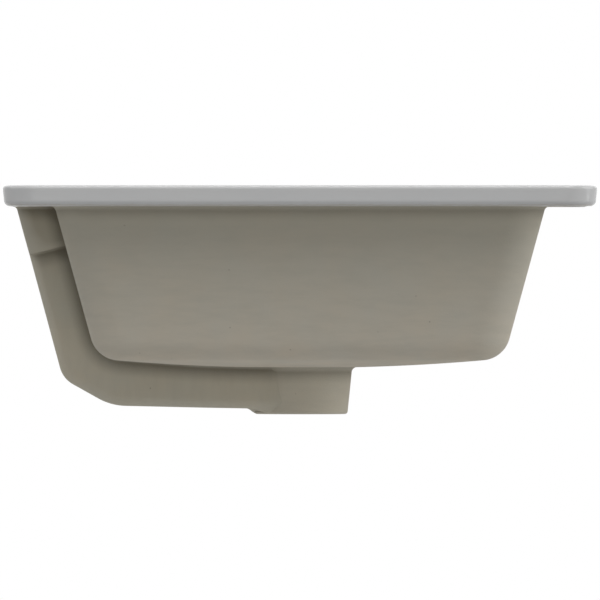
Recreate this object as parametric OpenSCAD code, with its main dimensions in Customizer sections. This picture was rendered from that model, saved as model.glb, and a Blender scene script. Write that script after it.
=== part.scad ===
// Inset wash basin in vitreous china, modelled as the castings a caster
// would join before firing, and the glaze that is fired onto them.
// Frame: +X is the user's right, -Y is the front with the overflow, +Z is up.
// The origin is on the outlet's axis, level with the underside of the rim.
// All lengths are in millimetres and all angles in degrees.

/* [Rim] */
// Overall width of the glazed rim
rim_w = 500; // [450:5:620]
// Overall depth of the glazed rim, front to back
rim_d = 395; // [370:5:460]
// Thickness of the rim
rim_h = 14; // [11:0.5:20]
// Corner radius of the rim seen from above
rim_corner_r = 21; // [12:1:40]
// Edge radius along the top of the rim
rim_top_r = 2.3; // [1.2:0.1:4]
// Edge radius along the foot of the rim's side
rim_foot_r = 4; // [2:0.5:5]
// Draft of the rim's side
rim_draft = 6; // [1:1:9]
// Ledge from the rim's edge to the bowl's outer face, in the seat plane
rim_ledge = 34.1; // [33:0.1:44]

/* [Bowl] */
// Depth below the seat plane at which the wall would meet the floor
bowl_depth = 101.4; // [85:0.1:130]
// Draft of the bowl's walls
bowl_draft = 15.2; // [9:0.1:17]
// Outer corner radius of the bowl seen from above
bowl_corner_r = 22; // [20:1:36]
// Outer fillet radius between wall and floor
bowl_fillet_r = 19.5; // [12:0.5:20]
// Cove radius between the bowl and the rim's underside
bowl_cove_r = 4; // [2:0.5:6]
// Depth by which the bowl and the hood are let into the rim's underside
let_in = 2; // [1:0.5:4]
// Thickness of the cast wall
wall_t = 10; // [8:0.5:12]
// Thickness of the cast floor
floor_t = 10; // [8:0.5:13]
// Inner corner radius of the bowl seen from above
inner_corner_r = 16; // [14:1:30]
// Inner fillet radius between wall and floor
inner_fillet_r = 14; // [8:0.5:14.5]
// Fall of the floor from its edge to the outlet
floor_fall = 5.5; // [3:0.5:9]
// Radius of the rolled lip where the rim turns down into the bowl
lip_r = 7; // [4:0.5:9]
// Thickness of the fired glaze
glaze_t = 0.6; // [0.4:0.1:1]

/* [Outlet] */
// Bore of the outlet
outlet_d = 44.5; // [42:0.5:48]
// Outer diameter of the boss at its lower end
boss_d = 63.4; // [60:0.2:70]
// Height of the boss below the floor
boss_h = 31.5; // [30:0.1:40]
// Draft of the boss
boss_draft = 5; // [1:1:7]
// Edge radius at the lower end of the boss
boss_edge_r = 2; // [1:0.5:3]
// Fillet radius between the boss and the floor
boss_fillet_r = 2.5; // [1:0.5:4]
// Diameter of the recess that takes the flange of a waste
seat_d = 64; // [58:1:68]
// Depth of that recess
seat_depth = 2.5; // [1:0.5:4]

/* [Overflow] */
// Width of the overflow slot in the front wall
slot_w = 50; // [36:1:56]
// Height of the overflow slot
slot_h = 10; // [8:0.5:12]
// Depth of the middle of the slot below the seat plane
slot_drop = 15; // [14.5:0.5:20]
// Room in the hood beside each end of the slot
hood_side = 11; // [6:0.5:16]
// Rounding of the hood's upright edges
hood_edge_r = 9; // [6:0.5:12]
// Rounding along the hood's shoulder
hood_shoulder_r = 5; // [2:0.5:6]
// Slope of the hood's shoulder, down and away from the bowl
hood_slope = 14; // [4:1:20]
// Cove radius between the hood and the rim's underside
hood_cove_r = 3; // [1.5:0.5:4]
// Thickness of the duct's cast walls
duct_wall = 6; // [5:0.5:7]
// Distance from the bowl's outer face to the duct's, in the seat plane
duct_out = 27.8; // [25:0.1:29]
// Draft of the duct's outer wall
duct_draft = 15.1; // [12:0.1:17]
// Width of the duct below the hood
duct_w = 56; // [50:1:60]
// Rounding of the duct's outer edges
duct_edge_r = 6; // [3:0.5:8]
// Depth of the duct's heel below the foot of the bowl's wall
heel_drop = 14.3; // [10:0.1:16]
// Outer radius of the duct's heel
heel_r = 18; // [12:1:24]
// Slope of the duct between its heel and its run
heel_slope = 29.3; // [24:0.1:36]
// Depth of the run's underside below the foot of the bowl's wall
run_drop = 32.4; // [30:0.1:34]
// Outer radius between the heel's slope and the run
run_r = 40; // [20:1:50]
// Fall of the run towards the boss
run_fall = 1.3; // [0.5:0.1:2]
// Width of the port from the run into the boss
port_w = 24; // [16:1:26]
// Height of that port
port_h = 12; // [8:1:14]

/* [Hidden] */
$fn = 72;
// Facets round each plan corner, and splits along a long and a short side
corner_n = 6;
long_n = 3;
short_n = 2;
// Points in a quarter of a ring, and in a whole one
quarter_n = corner_n + long_n + short_n;
ring_n = 4 * quarter_n;
// Facets across the larger arcs of a section, and across its small ones
arc_n = 5;
edge_n = 3;
// Rings across the floor
floor_n = 4;
// Slope of the floor where it leaves the fillet
floor_angle = 5;
// Length by which a cutter passes the faces it cuts
over = 1;
// Lift that keeps a cutter's tangent edge off the plane it runs out in
hair = 0.001;
// Smallest plan radius that a fillet may leave
least_r = 0.8;

// Half sizes of the bowl's outer face in the seat plane
out_a = rim_w / 2 - rim_ledge;
out_b = rim_d / 2 - rim_ledge;
draft_tan = tan(bowl_draft);
wall_angle = 90 - bowl_draft;
// Half sizes of the finished inner face in the seat plane
in_a = out_a - (wall_t + glaze_t) / cos(bowl_draft);
in_b = out_b - (wall_t + glaze_t) / cos(bowl_draft);
// Tangent length of a fillet between the wall and the floor, per unit radius
turn_tan = tan((wall_angle - floor_angle) / 2);
// The flat round the outlet, which both the boss and the recess need
boss_top_r = boss_d / 2 + boss_h * tan(boss_draft);
flat_r = max(boss_top_r + boss_fillet_r, seat_d / 2 + glaze_t) + 1;
// Heights of the floor: underside, casting and finished face at the outlet
out_edge_z = -bowl_depth - bowl_fillet_r * turn_tan * sin(floor_angle);
under_z = out_edge_z - floor_fall;
in_foot_z = -bowl_depth + floor_t + glaze_t;
in_edge_z = in_foot_z - inner_fillet_r * turn_tan * sin(floor_angle);
dish_z = in_edge_z - floor_fall;
seat_z = dish_z - seat_depth;
boss_z = under_z - boss_h;

// The duct is laid out in the plane x = 0 as pairs [y, z]
duct_tan = tan(duct_draft);
duct_y = -out_b - duct_out;
function duct_line(z) = [duct_y - z * duct_tan, z];
heel_z = -bowl_depth - heel_drop;
heel = duct_line(heel_z);
run_z = -bowl_depth - run_drop;
knee = [heel[0] + (heel_z - run_z) / tan(heel_slope), run_z];
run_end = [0, run_z - (0 - knee[0]) * tan(run_fall)];
// Sections of the duct turn about this point, inside the bowl's fillet
hub_y = -(out_b - bowl_depth * draft_tan - bowl_fillet_r);
hub_z = -bowl_depth + bowl_fillet_r;
// Distance kept between that point and the sections' inner ends
hub_keep = 2;
duct_hw = duct_w / 2;
hood_hw = slot_w / 2 + hood_side + duct_wall;
// The shoulder clears the slot by the duct's wall where it meets the bowl
slope_tan = tan(hood_slope);
slot_foot_z = -slot_drop - slot_h / 2;
shoulder_in_z = slot_foot_z - duct_wall;
shoulder_in_y = -out_b - shoulder_in_z * draft_tan;
shoulder_z = (shoulder_in_z - slope_tan * (shoulder_in_y - duct_y))
    / (1 + slope_tan * duct_tan);
// The port opens in the upper part of the run, clear of the run's floor
port_z = (under_z + run_end[1] + duct_wall) / 2;

// Rings

// A quarter of a rounded rectangle, from its first axis to its second
function quarter(a, b, r, n1, n2) = concat(
    [for (j = [0 : n1 - 1]) [a, (b - r) * j / n1]],
    [for (k = [0 : corner_n])
        [a - r + r * cos(90 * k / corner_n), b - r + r * sin(90 * k / corner_n)]],
    [for (j = [1 : n2 - 1]) [(a - r) * (1 - j / n2), b]]);

// A level ring given as [half width, half depth, corner radius, height]
function ring(s) = concat(
    [for (p = quarter(s[0], s[1], s[2], short_n, long_n)) [p[0], p[1], s[3]]],
    [for (p = quarter(s[1], s[0], s[2], long_n, short_n)) [-p[1], p[0], s[3]]],
    [for (p = quarter(s[0], s[1], s[2], short_n, long_n)) [-p[0], -p[1], s[3]]],
    [for (p = quarter(s[1], s[0], s[2], long_n, short_n)) [p[1], -p[0], s[3]]]);

// A ring part of the way from a rounded rectangle to the outlet's circle
function dish_ring(s, round_r, z, t) = [
    for (i = [0 : ring_n - 1])
        let (p = ring(s)[i], g = 360 * i / ring_n)
        [p[0] + t * (round_r * cos(g) - p[0]), p[1] + t * (round_r * sin(g) - p[1]), z]];

// The floor's rings from the foot of the fillet to the flat at the outlet
function dish(s, drop) = [
    for (k = [1 : floor_n])
        let (t = k / floor_n, u = s[1] + t * (flat_r - s[1]))
        dish_ring(s, flat_r, s[3] - drop + drop * (u * u - flat_r * flat_r)
            / (s[1] * s[1] - flat_r * flat_r), t)];

function flip(list) = [for (i = [len(list) - 1 : -1 : 0]) list[i]];

// A solid through a list of rings of equal length, closed by a fan at each end
module loft(rings) {
    n = len(rings[0]);
    m = len(rings);
    polyhedron(
        points = concat(
            [for (r = rings) for (p = r) p],
            [middle(rings[0]), middle(rings[m - 1])]),
        faces = concat(
            [for (i = [0 : n - 1]) [m * n, i, (i + 1) % n]],
            loft_sides(n, m - 1),
            [for (i = [0 : n - 1]) let (k = (m - 1) * n) [m * n + 1, k + (i + 1) % n, k + i]]),
        convexity = 8);
}

function middle(r) = [for (p = r) 1] * r / len(r);

function loft_sides(n, strips) = [
    for (k = [0 : strips - 1]) for (i = [0 : n - 1]) for (h = [0, 1])
        let (a = k * n + i, b = k * n + (i + 1) % n)
        h == 0 ? [a, a + n, b + n] : [a, b + n, b]];

// Profiles of the basin, each a list of [half width, half depth, radius, height]

function rim_at(inset, z) = [
    rim_w / 2 - inset, rim_d / 2 - inset, max(least_r, rim_corner_r - inset), z];

// The rim's side from foot to top, moved in by g
function rim_side(g) =
    let (
        rise = rim_h - rim_top_r * (1 + sin(rim_draft)) - rim_foot_r * (1 - sin(rim_draft)),
        top_in = rim_top_r,
        foot_in = rim_top_r - rim_top_r * cos(rim_draft) + rise * tan(rim_draft)
            + rim_foot_r * cos(rim_draft))
    concat(
        [for (k = [0 : edge_n])
            let (f = -90 + (90 - rim_draft) * k / edge_n)
            rim_at(foot_in - (rim_foot_r - g) * cos(f), rim_foot_r + (rim_foot_r - g) * sin(f))],
        [for (k = [0 : edge_n])
            let (f = -rim_draft + (90 + rim_draft) * k / edge_n)
            rim_at(top_in - (rim_top_r - g) * cos(f), rim_h - rim_top_r + (rim_top_r - g) * sin(f))]);

function in_at(outset, grow, z) = [
    in_a + outset, in_b + outset, max(least_r, inner_corner_r + grow), z];

// The lip from the top of the rim down to the wall, moved into the body by g
function lip_side(g) =
    let (
        back = lip_r * tan(wall_angle / 2),
        c = rim_h * draft_tan + back,
        foot = c - lip_r * sin(wall_angle))
    [for (k = [0 : arc_n])
        let (f = wall_angle * k / arc_n, x = c - (lip_r - g) * sin(f))
        in_at(x, x - foot, rim_h - lip_r + (lip_r - g) * cos(f))];

// The inner wall and fillet below the seat plane, moved into the body by g
function well_side(g) =
    let (
        x0 = g / cos(bowl_draft),
        reach = inner_fillet_r * turn_tan,
        px = in_foot_z * draft_tan + reach * sin(bowl_draft),
        pz = in_foot_z + reach * cos(bowl_draft),
        cx = px - inner_fillet_r * sin(wall_angle),
        cz = pz + inner_fillet_r * cos(wall_angle))
    concat(
        [in_at(x0, g, 0)],
        [for (k = [0 : arc_n])
            let (
                f = wall_angle + (floor_angle - wall_angle) * k / arc_n,
                x = cx + (inner_fillet_r + g) * sin(f))
            in_at(x, x - px, cz - (inner_fillet_r + g) * cos(f))]);

// The finished inner floor, lowered by g
function well_floor(g) =
    let (s = well_side(g)[arc_n + 1])
    dish([s[0], s[1], s[2], s[3]], s[3] - dish_z + g);

function out_at(outset, grow, z) = [
    out_a + outset, out_b + outset, max(least_r, bowl_corner_r + grow), z];

// The bowl's outside from its cove in the seat plane to the fillet's foot
function shell_side() =
    let (
        back = bowl_cove_r * tan(wall_angle / 2),
        foot = back - bowl_cove_r * sin(wall_angle),
        reach = bowl_fillet_r * turn_tan,
        px = -bowl_depth * draft_tan + reach * sin(bowl_draft),
        pz = -bowl_depth + reach * cos(bowl_draft),
        cx = px - bowl_fillet_r * sin(wall_angle),
        cz = pz + bowl_fillet_r * cos(wall_angle))
    concat(
        [for (k = [0 : edge_n])
            let (f = wall_angle * k / edge_n, x = back - bowl_cove_r * sin(f))
            out_at(x, x - foot, -bowl_cove_r + bowl_cove_r * cos(f))],
        [for (k = [0 : arc_n])
            let (
                f = wall_angle + (floor_angle - wall_angle) * k / arc_n,
                x = cx + bowl_fillet_r * sin(f))
            out_at(x, x - px, cz - bowl_fillet_r * cos(f))]);

// The bowl's outline in the seat plane, at height z
function bowl_top(z) = let (s = shell_side()[0]) ring([s[0], s[1], s[2], z]);

function shell_rings() = concat(
    [bowl_top(let_in)],
    [for (s = shell_side()) ring(s)],
    dish(shell_side()[edge_n + arc_n + 1], floor_fall));

function well_rings(g) = concat([for (s = well_side(g)) ring(s)], well_floor(g));

// Everything inside the bowl's outer face, which the duct and boss butt on
module bowl_outside() {
    loft(flip(shell_rings()));
}

// Sections of the duct

function unit(v) = v / norm(v);

// A section between the outer point p and inner point q, edges rounded at p
function channel(p, q, hw, r) =
    let (e = unit(q - p), far = norm(q - p))
    concat(
        [for (k = [0 : edge_n])
            let (f = 90 * k / edge_n, v = p + e * r * (1 - cos(f)))
            [hw - r + r * sin(f), v[0], v[1]]],
        [[hw, q[0], q[1]], [-hw, q[0], q[1]]],
        [for (k = [0 : edge_n])
            let (f = 90 * (1 - k / edge_n), v = p + e * r * (1 - cos(f)))
            [-hw + r - r * sin(f), v[0], v[1]]]);

// The inner end of the section at p: level in the riser, upright in the run
function inner_end(p) =
    p[1] >= hub_z ? [hub_y - hub_keep, p[1]]
    : p[0] >= hub_y ? [p[0], hub_z - hub_keep]
    : [hub_y, hub_z] + hub_keep * unit(p - [hub_y, hub_z]);

// An arc from direction g1 to g2 that rounds the corner at v, moved in by w
function bend(v, g1, g2, r, w) =
    let (
        back = r * tan((g1 - g2) / 2),
        c = v + back * [-cos(g1), sin(g1)] + r * [sin(g1), cos(g1)])
    [for (k = [0 : arc_n])
        let (g = g1 + (g2 - g1) * k / arc_n)
        c - (r - w) * [sin(g), cos(g)]];

// The duct's face from the foot of the riser to y_end, moved in by w
function run_path(w, y_end) =
    let (
        a = bend(heel, 90 - duct_draft, heel_slope, heel_r, w),
        b = bend(knee, heel_slope, run_fall, run_r, w),
        last = b[arc_n])
    concat(a, b, [[y_end, last[1] - (y_end - last[0]) * tan(run_fall)]]);

// The riser's face at height z, moved in by w
function riser_at(w, z) = [duct_line(z)[0] + w / cos(duct_draft), z];

// The shoulder's plane: the point on it above y, lifted by h
function shoulder_at(y, h) = shoulder_z + (y - duct_line(shoulder_z)[0]) * slope_tan + h;

// The hood's section at height z, where its cove stands out by out
function hood_at(out, z) =
    channel([duct_line(0)[0] - out, z], [hub_y - hub_keep, z],
        hood_hw + max(0, out), hood_edge_r + max(0, out));

function hood_cove_back() = hood_cove_r * tan((90 - duct_draft) / 2);

// The point of the riser's face, moved in by w, on the lifted shoulder plane
function shoulder_p(w, h) =
    let (
        y0 = duct_line(0)[0] + w / cos(duct_draft),
        z = (shoulder_at(y0, h)) / (1 + slope_tan * duct_tan))
    [y0 - z * duct_tan, z];

function shoulder_q(h) = [hub_y - hub_keep, shoulder_at(hub_y - hub_keep, h)];

// The water's way through riser and run, from the hood's chamber to the boss
module duct_passage() {
    hw = duct_hw - duct_wall;
    r = max(1, duct_edge_r - duct_wall / 2);
    path = run_path(duct_wall, 0);
    top = riser_at(duct_wall, shoulder_z + 2 * duct_wall);
    loft(concat(
        [for (p = flip(path)) channel(p, inner_end(p), hw, r)],
        [channel(riser_at(duct_wall, hub_z), inner_end(riser_at(duct_wall, hub_z)), hw, r)],
        [channel(top, [hub_y - hub_keep, top[1]], hw, r)]));
}

// Cutters shared by more than one piece

module overflow_slot() {
    for (s = [-1, 1])
        translate([s * (slot_w - slot_h) / 2, -out_b + wall_t * 2.5, -slot_drop])
            rotate([90, 0, 0])
                cylinder(h = wall_t * 3.5, d = slot_h);
    translate([-(slot_w - slot_h) / 2, -out_b - wall_t, -slot_drop - slot_h / 2])
        cube([slot_w - slot_h, wall_t * 3.5, slot_h]);
}

module outlet_bore() {
    translate([0, 0, boss_z - over])
        cylinder(h = dish_z - boss_z + 2 * over, d = outlet_d);
}

// The boss, carried up by rise where it cuts a piece that also meets the floor
module boss_outside(rise = 0) {
    br = boss_d / 2;
    tilt = tan(boss_draft);
    fa = 90 - boss_draft;
    back = boss_fillet_r * tan(fa / 2);
    foot_c = br - boss_edge_r * tan((90 + boss_draft) / 2);
    rotate_extrude()
        polygon(concat(
            [[0, boss_z]],
            [for (k = [0 : 6])
                let (f = -90 + (90 - boss_draft) * k / 6)
                [foot_c + boss_edge_r * cos(f), boss_z + boss_edge_r * (1 + sin(f))]],
            [for (k = [0 : 6])
                let (f = fa * (1 - k / 6))
                [boss_top_r + back - boss_fillet_r * sin(f),
                    under_z - boss_fillet_r + boss_fillet_r * cos(f)]],
            rise > 0 ? [[boss_top_r + back, under_z + rise]] : [],
            [[0, under_z + rise]]));
}

// Pieces

// The cast ledge that rests on the counter, with the mouth cut through it and
// the tops of the bowl and the hood let into its underside
module rim() {
    side = rim_side(glaze_t);
    foot = side[0];
    lip = lip_side(glaze_t);
    seat = well_side(glaze_t)[0];
    color("gainsboro")
        difference() {
            loft(concat(
                [ring([foot[0], foot[1], foot[2], 0])],
                [for (s = side) ring(s)]));
            loft(concat(
                [ring([seat[0] - over * draft_tan, seat[1] - over * draft_tan, seat[2], -over]), ring(seat)],
                [for (s = flip(lip)) ring(s)],
                [ring([lip[0][0], lip[0][1], lip[0][2], rim_h + over])]));
            loft([bowl_top(-over), bowl_top(let_in)]);
            loft([hood_at(hood_cove_back(), -over), hood_at(hood_cove_back(), let_in)]);
        }
}

// The cast bowl with its dished floor, outlet, waste recess and slot
module bowl() {
    seat = well_side(glaze_t)[0];
    rise = let_in * draft_tan;
    color("tan")
        difference() {
            loft(concat(
                flip(shell_rings()),
                [ring([seat[0] + rise, seat[1] + rise, seat[2], let_in])],
                well_rings(glaze_t)));
            outlet_bore();
            translate([0, 0, seat_z - glaze_t])
                cylinder(h = seat_depth + 3 * glaze_t, d = seat_d + 2 * glaze_t);
            overflow_slot();
        }
}

// White glaze over the rim, the lip, the inside and the waste recess
module glaze_coat() {
    body_side = concat(
        flip(well_rings(glaze_t)),
        [for (s = flip(lip_side(glaze_t))) ring(s)],
        [for (s = flip(rim_side(glaze_t))) ring(s)]);
    face_side = concat(
        [for (s = rim_side(0)) ring(s)],
        [for (s = lip_side(0)) ring(s)],
        well_rings(0));
    color("white")
        difference() {
            union() {
                loft(concat(body_side, face_side));
                translate([0, 0, seat_z - glaze_t])
                    cylinder(h = seat_depth + glaze_t, d = seat_d + 2 * glaze_t);
            }
            translate([0, 0, seat_z])
                cylinder(h = seat_depth + over, d = seat_d);
            outlet_bore();
            overflow_slot();
        }
}

// The round socket under the floor that a waste is clamped through
module outlet_boss() {
    color("rosybrown")
        difference() {
            boss_outside();
            outlet_bore();
            boss_port();
        }
}

// The way from the run into the outlet
module boss_port() {
    for (s = [-1, 1])
        translate([s * (port_w - port_h) / 2, 0, port_z])
            rotate([90, 0, 0])
                cylinder(h = boss_top_r + over, d = port_h);
    translate([-(port_w - port_h) / 2, -boss_top_r - over, port_z - port_h / 2])
        cube([port_w - port_h, boss_top_r + over, port_h]);
}

// The wider head of the duct, over the slot
module overflow_hood() {
    lift = [for (k = [0 : edge_n]) hood_shoulder_r * (1 - cos(90 * k / edge_n))];
    draw = [for (k = [0 : edge_n]) hood_shoulder_r * (1 - sin(90 * k / edge_n))];
    color("burlywood")
        difference() {
            loft(concat(
                [for (k = [0 : edge_n])
                    channel(shoulder_p(0, lift[k]), shoulder_q(lift[k]), hood_hw - draw[k], hood_edge_r)],
                [for (k = [edge_n : -1 : 0])
                    let (f = (90 - duct_draft) * k / edge_n)
                    hood_at(hood_cove_back() - hood_cove_r * sin(f), -hood_cove_r + hood_cove_r * cos(f))],
                [hood_at(hood_cove_back(), let_in)]));
            bowl_outside();
            hood_chamber();
            duct_passage();
        }
}

// The space behind the slot, inside the hood's walls
module hood_chamber() {
    hw = hood_hw - duct_wall;
    r = max(1, hood_edge_r - duct_wall);
    top = riser_at(duct_wall, -duct_wall);
    loft([
        channel(shoulder_p(duct_wall, duct_wall), shoulder_q(duct_wall), hw, r),
        channel(top, [hub_y - hub_keep, top[1]], hw, r)]);
}

// The straight channel down the front of the bowl
module overflow_riser() {
    foot = riser_at(0, hub_z);
    color("wheat")
        difference() {
            loft([
                channel(foot, inner_end(foot), duct_hw, duct_edge_r),
                channel(shoulder_p(0, 0), shoulder_q(0), duct_hw, duct_edge_r)]);
            bowl_outside();
            duct_passage();
        }
}

// The heel and the run under the floor, as far as the boss
module overflow_run() {
    head = riser_at(0, hub_z);
    color("peru")
        difference() {
            loft(concat(
                [for (p = flip(run_path(0, -outlet_d / 4))) channel(p, inner_end(p), duct_hw, duct_edge_r)],
                [channel(head, inner_end(head), duct_hw, duct_edge_r)]));
            bowl_outside();
            translate([0, 0, hair])
                boss_outside(over);
            duct_passage();
        }
}

rim();
bowl();
glaze_coat();
outlet_boss();
overflow_hood();
overflow_riser();
overflow_run();
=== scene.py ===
"""Looks of an inset basin: white glaze fired onto a bare vitreous china body.

The rim, the bowl and the glaze are lofted through level outlines. The overflow
duct is swept through sections that land on the bowl, and the boss is spun.
Shapes are laid out in millimetres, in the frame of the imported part, and become
metres where they enter a mesh.
"""

import logging
from dataclasses import dataclass
from enum import Enum
from functools import partial
from math import copysign, cos, radians, sin, sqrt, tan, tau
from typing import Any, Callable, Iterable, Sequence

import bmesh
import bpy
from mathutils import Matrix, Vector
from mathutils.bvhtree import BVHTree


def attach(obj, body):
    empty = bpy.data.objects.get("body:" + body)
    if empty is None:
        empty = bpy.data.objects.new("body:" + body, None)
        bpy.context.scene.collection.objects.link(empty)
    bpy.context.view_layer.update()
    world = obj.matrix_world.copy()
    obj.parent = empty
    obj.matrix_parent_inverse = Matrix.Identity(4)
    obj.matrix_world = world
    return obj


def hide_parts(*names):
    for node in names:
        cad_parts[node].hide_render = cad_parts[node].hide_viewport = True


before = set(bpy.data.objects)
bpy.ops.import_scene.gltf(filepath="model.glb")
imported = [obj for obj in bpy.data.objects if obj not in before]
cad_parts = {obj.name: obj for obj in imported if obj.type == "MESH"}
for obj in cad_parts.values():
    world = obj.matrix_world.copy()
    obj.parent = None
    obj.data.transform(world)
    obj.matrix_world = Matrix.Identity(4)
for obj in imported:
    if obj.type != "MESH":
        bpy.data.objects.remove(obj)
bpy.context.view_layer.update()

LOG = logging.getLogger("inset_basin")
MM = 0.001
ACROSS = Vector((0, 1, 0))
UP = Vector((0, 0, 1))
WHITE = (1, 1, 1, 1)
COLOURS = {"data_type": "RGBA"}

# Steps of the wide roundings, of the small edges and round a slot.
FACE_ARC = 10
EDGE_ARC = 7
SLOT_POINTS = 48

Piece = bpy.types.Object
Ring = list[bmesh.types.BMVert]
Edges = list[bmesh.types.BMEdge]
Lap = list[Vector]
Pair = tuple[float, float]


# Lines


def fan(start: float, end: float, count: int) -> list[float]:
    """Evenly spaced angles in radians, between two in degrees."""
    return [radians(start + (end - start) * k / count) for k in range(count + 1)]


def arc(middle: Pair, r: float, start: float, end: float, count: int) -> list[Pair]:
    """Points of an arc, each as a distance across and a height.

    Args:
        middle: Centre of the arc.
        r: Radius of the arc.
        start: First angle, in degrees clockwise from straight up.
        end: Last angle.
        count: Number of steps.

    Returns:
        The points, both ends included.
    """
    return [(middle[0] + r * sin(g), middle[1] + r * cos(g)) for g in fan(start, end, count)]


def roll(r: float, count: int) -> list[Pair]:
    """How far out and how far back each row of a rolled edge lies."""
    return arc((r, r), r, 180, 270, count)


def near_ends(first: Pair, last: Pair, step: float) -> list[Pair]:
    """Two points on a straight line, a step in from its ends."""
    run = (Vector(last) - Vector(first)).normalized() * step
    return [(first[0] + run.x, first[1] + run.y), (last[0] - run.x, last[1] - run.y)]


def long_round(width: float, height: float, grow: float = 0.0) -> list[Pair]:
    """Points round an opening with round ends, each as across and up.

    Args:
        width: Width of the opening.
        height: Height of the opening.
        grow: Growth all round.

    Returns:
        The points, anticlockwise from the right end.
    """
    r = height / 2 + grow
    points = []
    for k in range(SLOT_POINTS):
        g = tau * k / SLOT_POINTS
        side = 0.0 if abs(cos(g)) < 1e-6 else copysign(1, cos(g))
        points.append((side * (width - height) / 2 + r * cos(g), r * sin(g)))
    return points


@dataclass(frozen=True)
class Outline:
    """A level rounded rectangle centred on the outlet's axis."""

    half_x: float
    half_y: float
    radius: float
    z: float

    SHORT = 6
    LONG = 9
    CORNER = 18
    SUPPORT = 1.2
    LEAST_R = 0.8

    def moved(self, outset: float, grow: float, z: float) -> "Outline":
        """The outline moved out, with its corners grown, at height z."""
        return Outline(self.half_x + outset, self.half_y + outset, self.radius + grow, z)

    def quarter(self, half_a: float, half_b: float, first: int, second: int) -> Lap:
        """Points from the middle of one side to just before the next one's.

        Args:
            half_a: Half size across the first side.
            half_b: Half size across the second side.
            first: Steps along the first side.
            second: Steps along the second side.

        Returns:
            The points in the plane of the outline.
        """
        r = max(self.radius, self.LEAST_R)
        a, b = half_a - r, half_b - r
        points = [(half_a, b * (k / first)) for k in range(first)]
        points.append((half_a, b - self.SUPPORT))
        points += arc((a, b), r, 90, 0, self.CORNER)
        points.append((a - self.SUPPORT, half_b))
        points += [(a * (k / second), half_b) for k in range(second - 1, 0, -1)]
        return [Vector((x, y, self.z)) for x, y in points]

    def lap(self) -> Lap:
        """The whole outline, anticlockwise from the middle of its right side.

        Returns:
            The points of the lap.
        """
        side = self.quarter(self.half_x, self.half_y, self.SHORT, self.LONG)
        end = self.quarter(self.half_y, self.half_x, self.LONG, self.SHORT)
        lap = side + [Vector((-p.y, p.x, p.z)) for p in end]
        return lap + [Vector((-p.x, -p.y, p.z)) for p in lap]

    def toward_circle(self, radius: float, z: float, share: float) -> Lap:
        """A lap part of the way from this outline to a circle.

        Args:
            radius: Radius of the circle.
            z: Height of the lap.
            share: 0 on this outline and 1 on the circle.

        Returns:
            The points of the lap.
        """
        lap = self.lap()
        made = []
        for index, point in enumerate(lap):
            g = tau * index / len(lap)
            goal = Vector((radius * cos(g), radius * sin(g), z))
            made.append(Vector((point.x, point.y, z)).lerp(goal, share))
        return made


def circle_lap(radius: float, z: float) -> Lap:
    """A level circle with as many points as an outline has."""
    return Outline(100.0, 80.0, 20.0, z).toward_circle(radius, z, 1.0)


def rolled(face: Outline, points: Iterable[Pair], zero: float) -> list[Outline]:
    """A face moved out to each point, its corners grown from zero on."""
    return [face.moved(x, x - zero, z) for x, z in points]


# Sizes


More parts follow.
